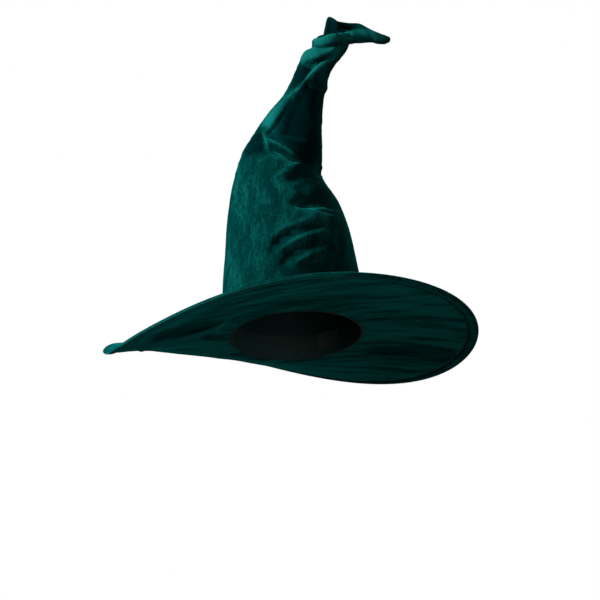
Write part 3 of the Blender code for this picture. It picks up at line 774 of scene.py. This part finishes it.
# The wires: one up the outer side of the crown's bends, in its casing, and one round the brim.
wire = {
    "bends": [  # the sections that the crown's wire follows, which differ from the crown's towards the tip
        *(row[:5] for row in crown["sections"][:9]),
        (21, 331, 74, 320, 4),
        (35, 356, 87, 352, 4),
        (50, 379, 113, 388, 3),
        (73, 393, 121, 393, 2),
        (96, 419, 128, 394, 1),
        (119, 419, 140, 393, 0),
        (139, 414, 151, 391.5, -1),
    ],
    "radius": 1.0,
    "casing": 1.9,
    "bore": 1.3,
    "depth": 7.6,
    "start": 0.95,
    "end": 15.0,
    "brimRadius": 0.9,
    "brimInset": 6,
    "brimGap": 0.75,  # half the gap between the hoop's ends
    "brimRows": 420,
}


def roundBar(name, line, radius, sides=12, bore=0.0):
    # a circle carried along a line, square to it, with a bore or with closed ends
    ahead = unit(np.gradient(line, axis=0))
    across = unit(np.cross(ahead, fore))
    other = np.cross(ahead, across)
    angle = evenTurns(sides)
    ring = across[:, None] * np.cos(angle)[None, :, None] + other[:, None] * np.sin(angle)[None, :, None]
    points = line[:, None] + ring * radius
    run = np.concatenate([[0], np.cumsum(np.linalg.norm(np.diff(line, axis=0), axis=1))])
    if bore:
        points, run = wall(points, line[:, None] + ring * bore), wall(run, run)
    else:
        points = np.concatenate([0 * points[:1] + line[0], points, 0 * points[:1] + line[-1]])
        run = np.pad(run, 1, mode="edge")
    uv = np.stack(np.meshgrid(np.linspace(0, 2 * math.pi * radius, sides + 1), run), axis=-1) * mm
    return gridPiece(name, points, uv, loop=bool(bore), weld=not bore, flip=True)


def wireLine(start, end):
    # inside the lining, opposite the side that the crown falls to
    at = np.linspace(start, end, int((end - start) * 10))
    middle, half = sectionFrame(wire["bends"], at)
    folded = -half * (1 - wire["depth"] / np.linalg.norm(half, axis=1, keepdims=True))
    turn = leanTurn + math.pi
    oval = atTurn(turn, openingRadius(turn, crown["wall"] - wire["depth"]), 0)
    share = smooth(at, *crown["oval"])[:, None]
    return middle + oval * (1 - share) + folded * share


lowLine, highLine = wireLine(wire["start"], crown["split"]), wireLine(crown["split"], wire["end"])
wireLow = roundBar("crownWireLow", lowLine, wire["radius"])
wireHigh = roundBar("crownWireHigh", highLine, wire["radius"])
casingLow = roundBar("wireCasingLow", lowLine[1:], wire["casing"], 16, wire["bore"])
casingHigh = roundBar("wireCasingHigh", highLine[:-2], wire["casing"], 16, wire["bore"])
rimRun = np.linspace(wire["brimGap"], 2 * math.pi * brim["radius"] - wire["brimGap"], wire["brimRows"])
rimTurn = math.pi / 2 + rimRun / brim["radius"]
rimLine = brimPoints(fromRim(wire["brimInset"]) + 0 * rimTurn, rimTurn, 0 * rimTurn)
rimWire = roundBar("brimWire", rimLine, wire["brimRadius"], 10)
print("wires made")


# Finishes.
class Value:
    # one output of a node: sums, differences and products of values add Math nodes
    def __init__(self, finish, socket):
        self.finish, self.socket = finish, socket

    def maths(self, operation, *others):
        return self.finish.make("ShaderNodeMath", {"operation": operation}, dict(enumerate((self, *others))))

    def __add__(self, other):
        return self.maths("ADD", other)

    def __sub__(self, other):
        return self.maths("SUBTRACT", other)

    def __rsub__(self, other):
        return self * -1 + other

    def __mul__(self, other):
        return self.maths("MULTIPLY", other)

    def __pow__(self, other):
        return self.maths("POWER", other)

    __radd__, __rmul__ = __add__, __mul__


class Finish:
    # one material: its shader's own settings, and the nodes that feed it
    def __init__(self, name, settings):
        self.material = bpy.data.materials.new(name)
        self.material.use_nodes = True
        self.tree = self.material.node_tree
        self.shader = self.tree.nodes["Principled BSDF"]
        self.feed(self.shader, settings)

    def make(self, kind, settings={}, inputs={}, output=0):
        node = self.tree.nodes.new(kind)
        for setting, value in settings.items():
            if setting == "stops":
                first, *middles, last = value
                elements = node.color_ramp.elements
                elements[0].position, elements[0].color = first
                elements[1].position, elements[1].color = last
                for position, colour in middles:
                    elements.new(position).color = colour
            else:
                setattr(node, setting, value)
        self.feed(node, inputs)
        return Value(self, node.outputs[output])

    def feed(self, node, inputs):
        for socket, value in inputs.items():
            if isinstance(value, Value):
                self.tree.links.new(value.socket, node.inputs[socket])
            else:
                node.inputs[socket].default_value = value

    def cloth(self):
        return self.make("ShaderNodeUVMap", {"uv_map": "cloth"})

    def scaled(self, where, size):
        # places counted in spots of this size, which is in mm in each direction
        inputs = {0: where, 1: [1000 / s for s in size]}
        return self.make("ShaderNodeVectorMath", {"operation": "MULTIPLY"}, inputs)

    def noise(self, where, size, detail=3.0, rough=0.5, distortion=0.0):
        inputs = {"Vector": self.scaled(where, size), "Scale": 1.0, "Detail": detail}
        return self.make("ShaderNodeTexNoise", {}, {**inputs, "Roughness": rough, "Distortion": distortion})

    def threads(self, where, pitch):
        # even threads across the first direction of where; the texture has 20 / (2 pi) of them to each pitch
        inputs = {"Vector": self.scaled(where, (pitch, 1e6, 1)), "Scale": 1.0}
        return self.make("ShaderNodeTexWave", {"wave_profile": "SIN"}, inputs, 1)

    def ramp(self, value, stops):
        stops = [(position, (*colour, 1)) for position, colour in stops]
        return self.make("ShaderNodeValToRGB", {"stops": stops}, {0: value})

    def bump(self, height, strength, distance):
        inputs = {"Strength": strength, "Distance": distance * mm, "Height": height}
        self.feed(self.shader, {"Normal": self.make("ShaderNodeBump", {}, inputs)})

    def done(self, colour, roughness):
        self.feed(self.shader, {"Base Color": colour, "Roughness": roughness})
        return self.material


velvetLook = {
    "stops": [(0.3, (0.0, 0.006, 0.007)), (0.5, (0.0, 0.0175, 0.0162)), (0.72, (0.003, 0.086, 0.078))],
    "base": 0.145,  # the tone's lowest part, and the share of each mark in it
    "patches": 0.34,
    "streaks": 0.18,
    "fuzz": 0.14,
    "lines": 0.08,
    # the share of the pile attribute: painted light and shade, with the brim's long nap marks
    "pile": 0.14,
    "sheen": {"Sheen Weight": 0.4, "Sheen Roughness": 0.32, "Sheen Tint": (0.0, 0.5, 0.46, 1)},
    "bump": 0.3,
}


def velvetFinish():
    look = velvetLook
    finish = Finish("velvet", {"Specular IOR Level": 0.0, **look["sheen"]})
    cloth = finish.cloth()
    patches = finish.noise(cloth, (26, 60, 1), 3, 0.55, 0.6)  # where the pile lies one way or the other
    streaks = finish.noise(cloth, (3.2, 24, 1), 4, 0.6, 0.3)  # long marks along the nap
    crushed = finish.noise(cloth, (11, 17, 1), 3, 0.6, 1.4)
    lines = (1 - (crushed * 2 - 1).maths("ABSOLUTE")) ** 7.0  # thin bright lines between crushed spots
    fuzz = finish.noise(cloth, (0.8, 1.4, 1), 2, 0.6)
    # the pile attribute: painted light and shade of the facets, roll and groove, with the brim's long nap marks
    pile = finish.make("ShaderNodeAttribute", {"attribute_name": "pile"}, output=2)
    tone = patches * look["patches"] + streaks * look["streaks"] + fuzz * look["fuzz"] + lines * look["lines"]
    tone = tone + look["base"] + pile * look["pile"]
    finish.bump(streaks * 0.45 + lines * 0.35 + fuzz * 0.3, look["bump"], 0.9)
    return finish.done(finish.ramp(tone, look["stops"]), 1 - tone * 0.4)


def wovenFinish(name, dark, light, warp, weft, roughness, strength):
    # a plain cloth of two crossed sets of threads, with faint slubs
    finish = Finish(name, {"Specular IOR Level": 0.3})
    cloth = finish.cloth()
    across = finish.threads(cloth, warp)
    turned = finish.make("ShaderNodeMapping", {}, {"Vector": cloth, "Rotation": (0, 0, math.pi / 2)})
    along = finish.threads(turned, weft)
    slub = finish.noise(cloth, (warp * 3, weft * 14, 1), 3)
    weave = across * 0.5 + along * 0.5
    finish.bump(weave + slub * 0.5, strength, min(warp, weft) * 0.3)
    tone = weave * 0.5 + slub * 0.5
    return finish.done(finish.ramp(tone, [(0.25, dark), (0.75, light)]), roughness + (tone - 0.5) * 0.15)


def hardFinish(name, settings, sizes, dark, light, strength, depth, rough):
    # a fine grain in the bump and the gloss, and larger marks in the colour
    finish = Finish(name, settings)
    place = finish.make("ShaderNodeTexCoord", output=3)
    grain, marks = (finish.noise(place, size, detail) for size, detail in sizes)
    finish.bump(grain, strength, depth)
    return finish.done(finish.ramp(marks, [(0.3, dark), (0.7, light)]), grain * rough[0] + rough[1])


drawnSteel = {"Specular IOR Level": 0.5, "Metallic": 1.0}
drawn, grain, worn = ((0.3, 0.3, 5), 3), ((0.4, 0.4, 0.4), 2), ((2.5, 2.5, 2.5), 3)  # sizes in mm, and detail
steelColours = (0.42, 0.42, 0.43), (0.62, 0.62, 0.63)
capColours = (0.012, 0.012, 0.012), (0.03, 0.03, 0.031)
finishes = {  # by slot: for woven ones its darkest and lightest colours, thread sizes, roughness and bump
    "velvet": velvetFinish(),
    "foam": wovenFinish("foamPadding", (0.008, 0.008, 0.008), (0.03, 0.03, 0.031), 1.3, 1.3, 0.95, 0.6),
    "interlining": wovenFinish("stiffFelt", (0.6, 0.6, 0.57), (0.8, 0.8, 0.77), 0.9, 0.9, 0.95, 0.5),
    "lining": wovenFinish("satinLining", (0.002, 0.012, 0.011), (0.006, 0.03, 0.027), 0.35, 0.5, 0.42, 0.25),
    "ribbon": wovenFinish("grosgrain", (0.003, 0.014, 0.012), (0.008, 0.032, 0.027), 1.1, 0.4, 0.6, 0.4),
    "tape": wovenFinish("twillTape", (0.006, 0.006, 0.006), (0.018, 0.018, 0.018), 0.6, 0.6, 0.85, 0.5),
    "thread": wovenFinish("thread", (0.001, 0.016, 0.014), (0.003, 0.045, 0.038), 0.25, 0.5, 0.55, 0.5),
    "label": wovenFinish("labelSatin", (0.02, 0.023, 0.022), (0.045, 0.05, 0.049), 0.4, 0.3, 0.4, 0.25),
    "steel": hardFinish("springSteel", drawnSteel, (drawn, drawn), *steelColours, 0.15, 0.05, (0.25, 0.22)),
    "cap": hardFinish("softCap", {"Specular IOR Level": 0.4}, (grain, worn), *capColours, 0.2, 0.08, (0.2, 0.5)),
}


# Every piece with its slot, the nodes it stands for and the bend it crosses. The others ride on the hat.
lowBend = ("hat", "upper_crown", crown["crease"])
highBend = ("upper_crown", "tip", crown["tipBend"])
pieces = [
    (brimTop, "velvet", ["brim_velvet_top"]),
    (brimUnder, "velvet", ["brim_velvet_under"]),
    (stiffening, "interlining", ["brim_interlining"]),
    (stitchTop, "thread", ["topstitch_upper"]),
    (stitchUnder, "thread", ["topstitch_under"]),
    (rimWire, "steel", ["brim_wire"]),
    (tape, "tape", ["seam_tape"]),
    (sweatband, "ribbon", ["sweatband"]),
    (bandStitch, "thread", ["sweatband_stitch"]),
    (careLabel, "label", ["care_label"]),
    (foam, "foam", ["crown_foam_lower"]),
    (crownLow, "velvet", ["crown_velvet_lower", "crown_velvet_upper"], lowBend),
    (crownHigh, "velvet", ["crown_velvet_tip"], highBend),
    (lining, "lining", ["crown_lining_lower", "crown_lining_upper"], lowBend),
    (wireLow, "steel", ["crown_wire_lower", "crown_wire_upper"], lowBend),
    (wireHigh, "steel", ["crown_wire_tip"], highBend),
    (casingLow, "tape", ["wire_casing_lower", "wire_casing_upper"], lowBend),
    (casingHigh, "tape", ["wire_casing_tip"], highBend),
]
for piece, slotName, nodes, *bend in pieces:
    piece.data.materials.append(finishes[slotName])
    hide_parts(*nodes)
    if bend:
        still, moving, (middle, ahead, half) = bend[0]
        middle, ahead = (side * across + up * height for across, height in (middle, ahead))
        start, end = (tuple((middle + ahead * half * sign) * mm) for sign in (-1, 1))
        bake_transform(piece)
    else:
        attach(piece, "hat")
for node, slotName in (("brim_wire_sleeve", "steel"), ("wire_cap_foot", "cap"), ("wire_cap_tip", "cap")):
    for holder in bpy.data.objects[node].material_slots:
        holder.material = finishes[slotName]

# The camera looks up at the hat from the front left.
cameraLook = {
    "angles": (25.1, -19.2, 6.85),  # azimuth, elevation and roll in degrees
    "distance": 3.2,
    "view": 0.792,
    "aim": (-0.007, -0.0035, 0),
    "shift": (0.0124, 0.0453),  # from there, to the right and up in the view
}
azimuth, elevation, roll = (math.radians(angle) for angle in cameraLook["angles"])
right = np.array([math.cos(azimuth), math.sin(azimuth), 0])
ahead = np.array([math.sin(azimuth), -math.cos(azimuth), 0])
back = ahead * math.cos(elevation) + up * math.sin(elevation)
above = np.cross(back, right)
cameraRight = right * math.cos(roll) - above * math.sin(roll)
cameraUp = right * math.sin(roll) + above * math.cos(roll)
target = cameraLook["aim"] + cameraLook["shift"][0] * cameraRight + cameraLook["shift"][1] * cameraUp
camera = addObject("camera", bpy.data.cameras.new("camera"))
bpy.context.scene.camera = camera
pose = Matrix([[*row, 0] for row in np.stack([cameraRight, cameraUp, back], 1)] + [[0, 0, 0, 1]])
pose.translation = Vector(target + back * cameraLook["distance"])
camera.matrix_world = pose
camera.data.type = "ORTHO"  # a long lens from far away
camera.data.ortho_scale = cameraLook["view"]
camera.data.clip_end = 50

# Soft studio lamps: place in (right, towards the viewer, up) metres from the hat, size, and watts.
lamps = {
    "keyLamp": ((-1.9, 0.7, 1.3), 0.8, 150),
    "fillLamp": ((1.4, 2.2, -0.3), 1.6, 17),
    "backLamp": ((0.5, -2.0, 2.2), 1.4, 26),
}
aim = 0.18 * up
for name, (place, size, power) in lamps.items():
    light = bpy.data.lights.new(name, "AREA")
    light.shape, light.size, light.energy = "SQUARE", size, power
    lamp = addObject(name, light)
    spot = Vector(aim + right * place[0] + back * place[1] + above * place[2])
    lamp.location = spot
    lamp.rotation_euler = (Vector(aim) - spot).to_track_quat("-Z", "Y").to_euler()

# A white room, seen bright by the camera, that lights the hat only a little.
room = {"seen": 1.0, "glow": 0.08, "floor": -1.65, "half": 12}
world = bpy.data.worlds.new("room")
bpy.context.scene.world = world
world.use_nodes = True
roomNodes, roomLinks = world.node_tree.nodes, world.node_tree.links
seen, glow = roomNodes["Background"], roomNodes.new("ShaderNodeBackground")
for light, strength in ((seen, room["seen"]), (glow, room["glow"])):
    light.inputs[0].default_value, light.inputs[1].default_value = (1, 1, 1, 1), strength
mix, path = roomNodes.new("ShaderNodeMixShader"), roomNodes.new("ShaderNodeLightPath")
ends = (path.outputs["Is Camera Ray"], glow.outputs[0], seen.outputs[0])
for end, socket in zip((*ends, mix.outputs[0]), (*mix.inputs, roomNodes["World Output"].inputs[0])):
    roomLinks.new(end, socket)
bpy.context.scene.view_settings.view_transform = "Standard"

# The floor, as far below as a worn hat is.
corners = [(x * room["half"], y * room["half"], room["floor"]) for x, y in ((-1, -1), (1, -1), (1, 1), (-1, 1))]
floorMesh = bpy.data.meshes.new("floor")
floorMesh.from_pydata(corners, [], [(0, 1, 2, 3)])
floor = addObject("floor", floorMesh)
floorLook = {"Base Color": (0.9, 0.9, 0.9, 1), "Roughness": 0.9}
floorLook |= {"Emission Color": (1, 1, 1, 1), "Emission Strength": 0.7}
floorMesh.materials.append(Finish("paleFloor", floorLook).material)
floor.visible_diffuse = floor.visible_glossy = False  # its light doesn't reach the hat
print("room made")
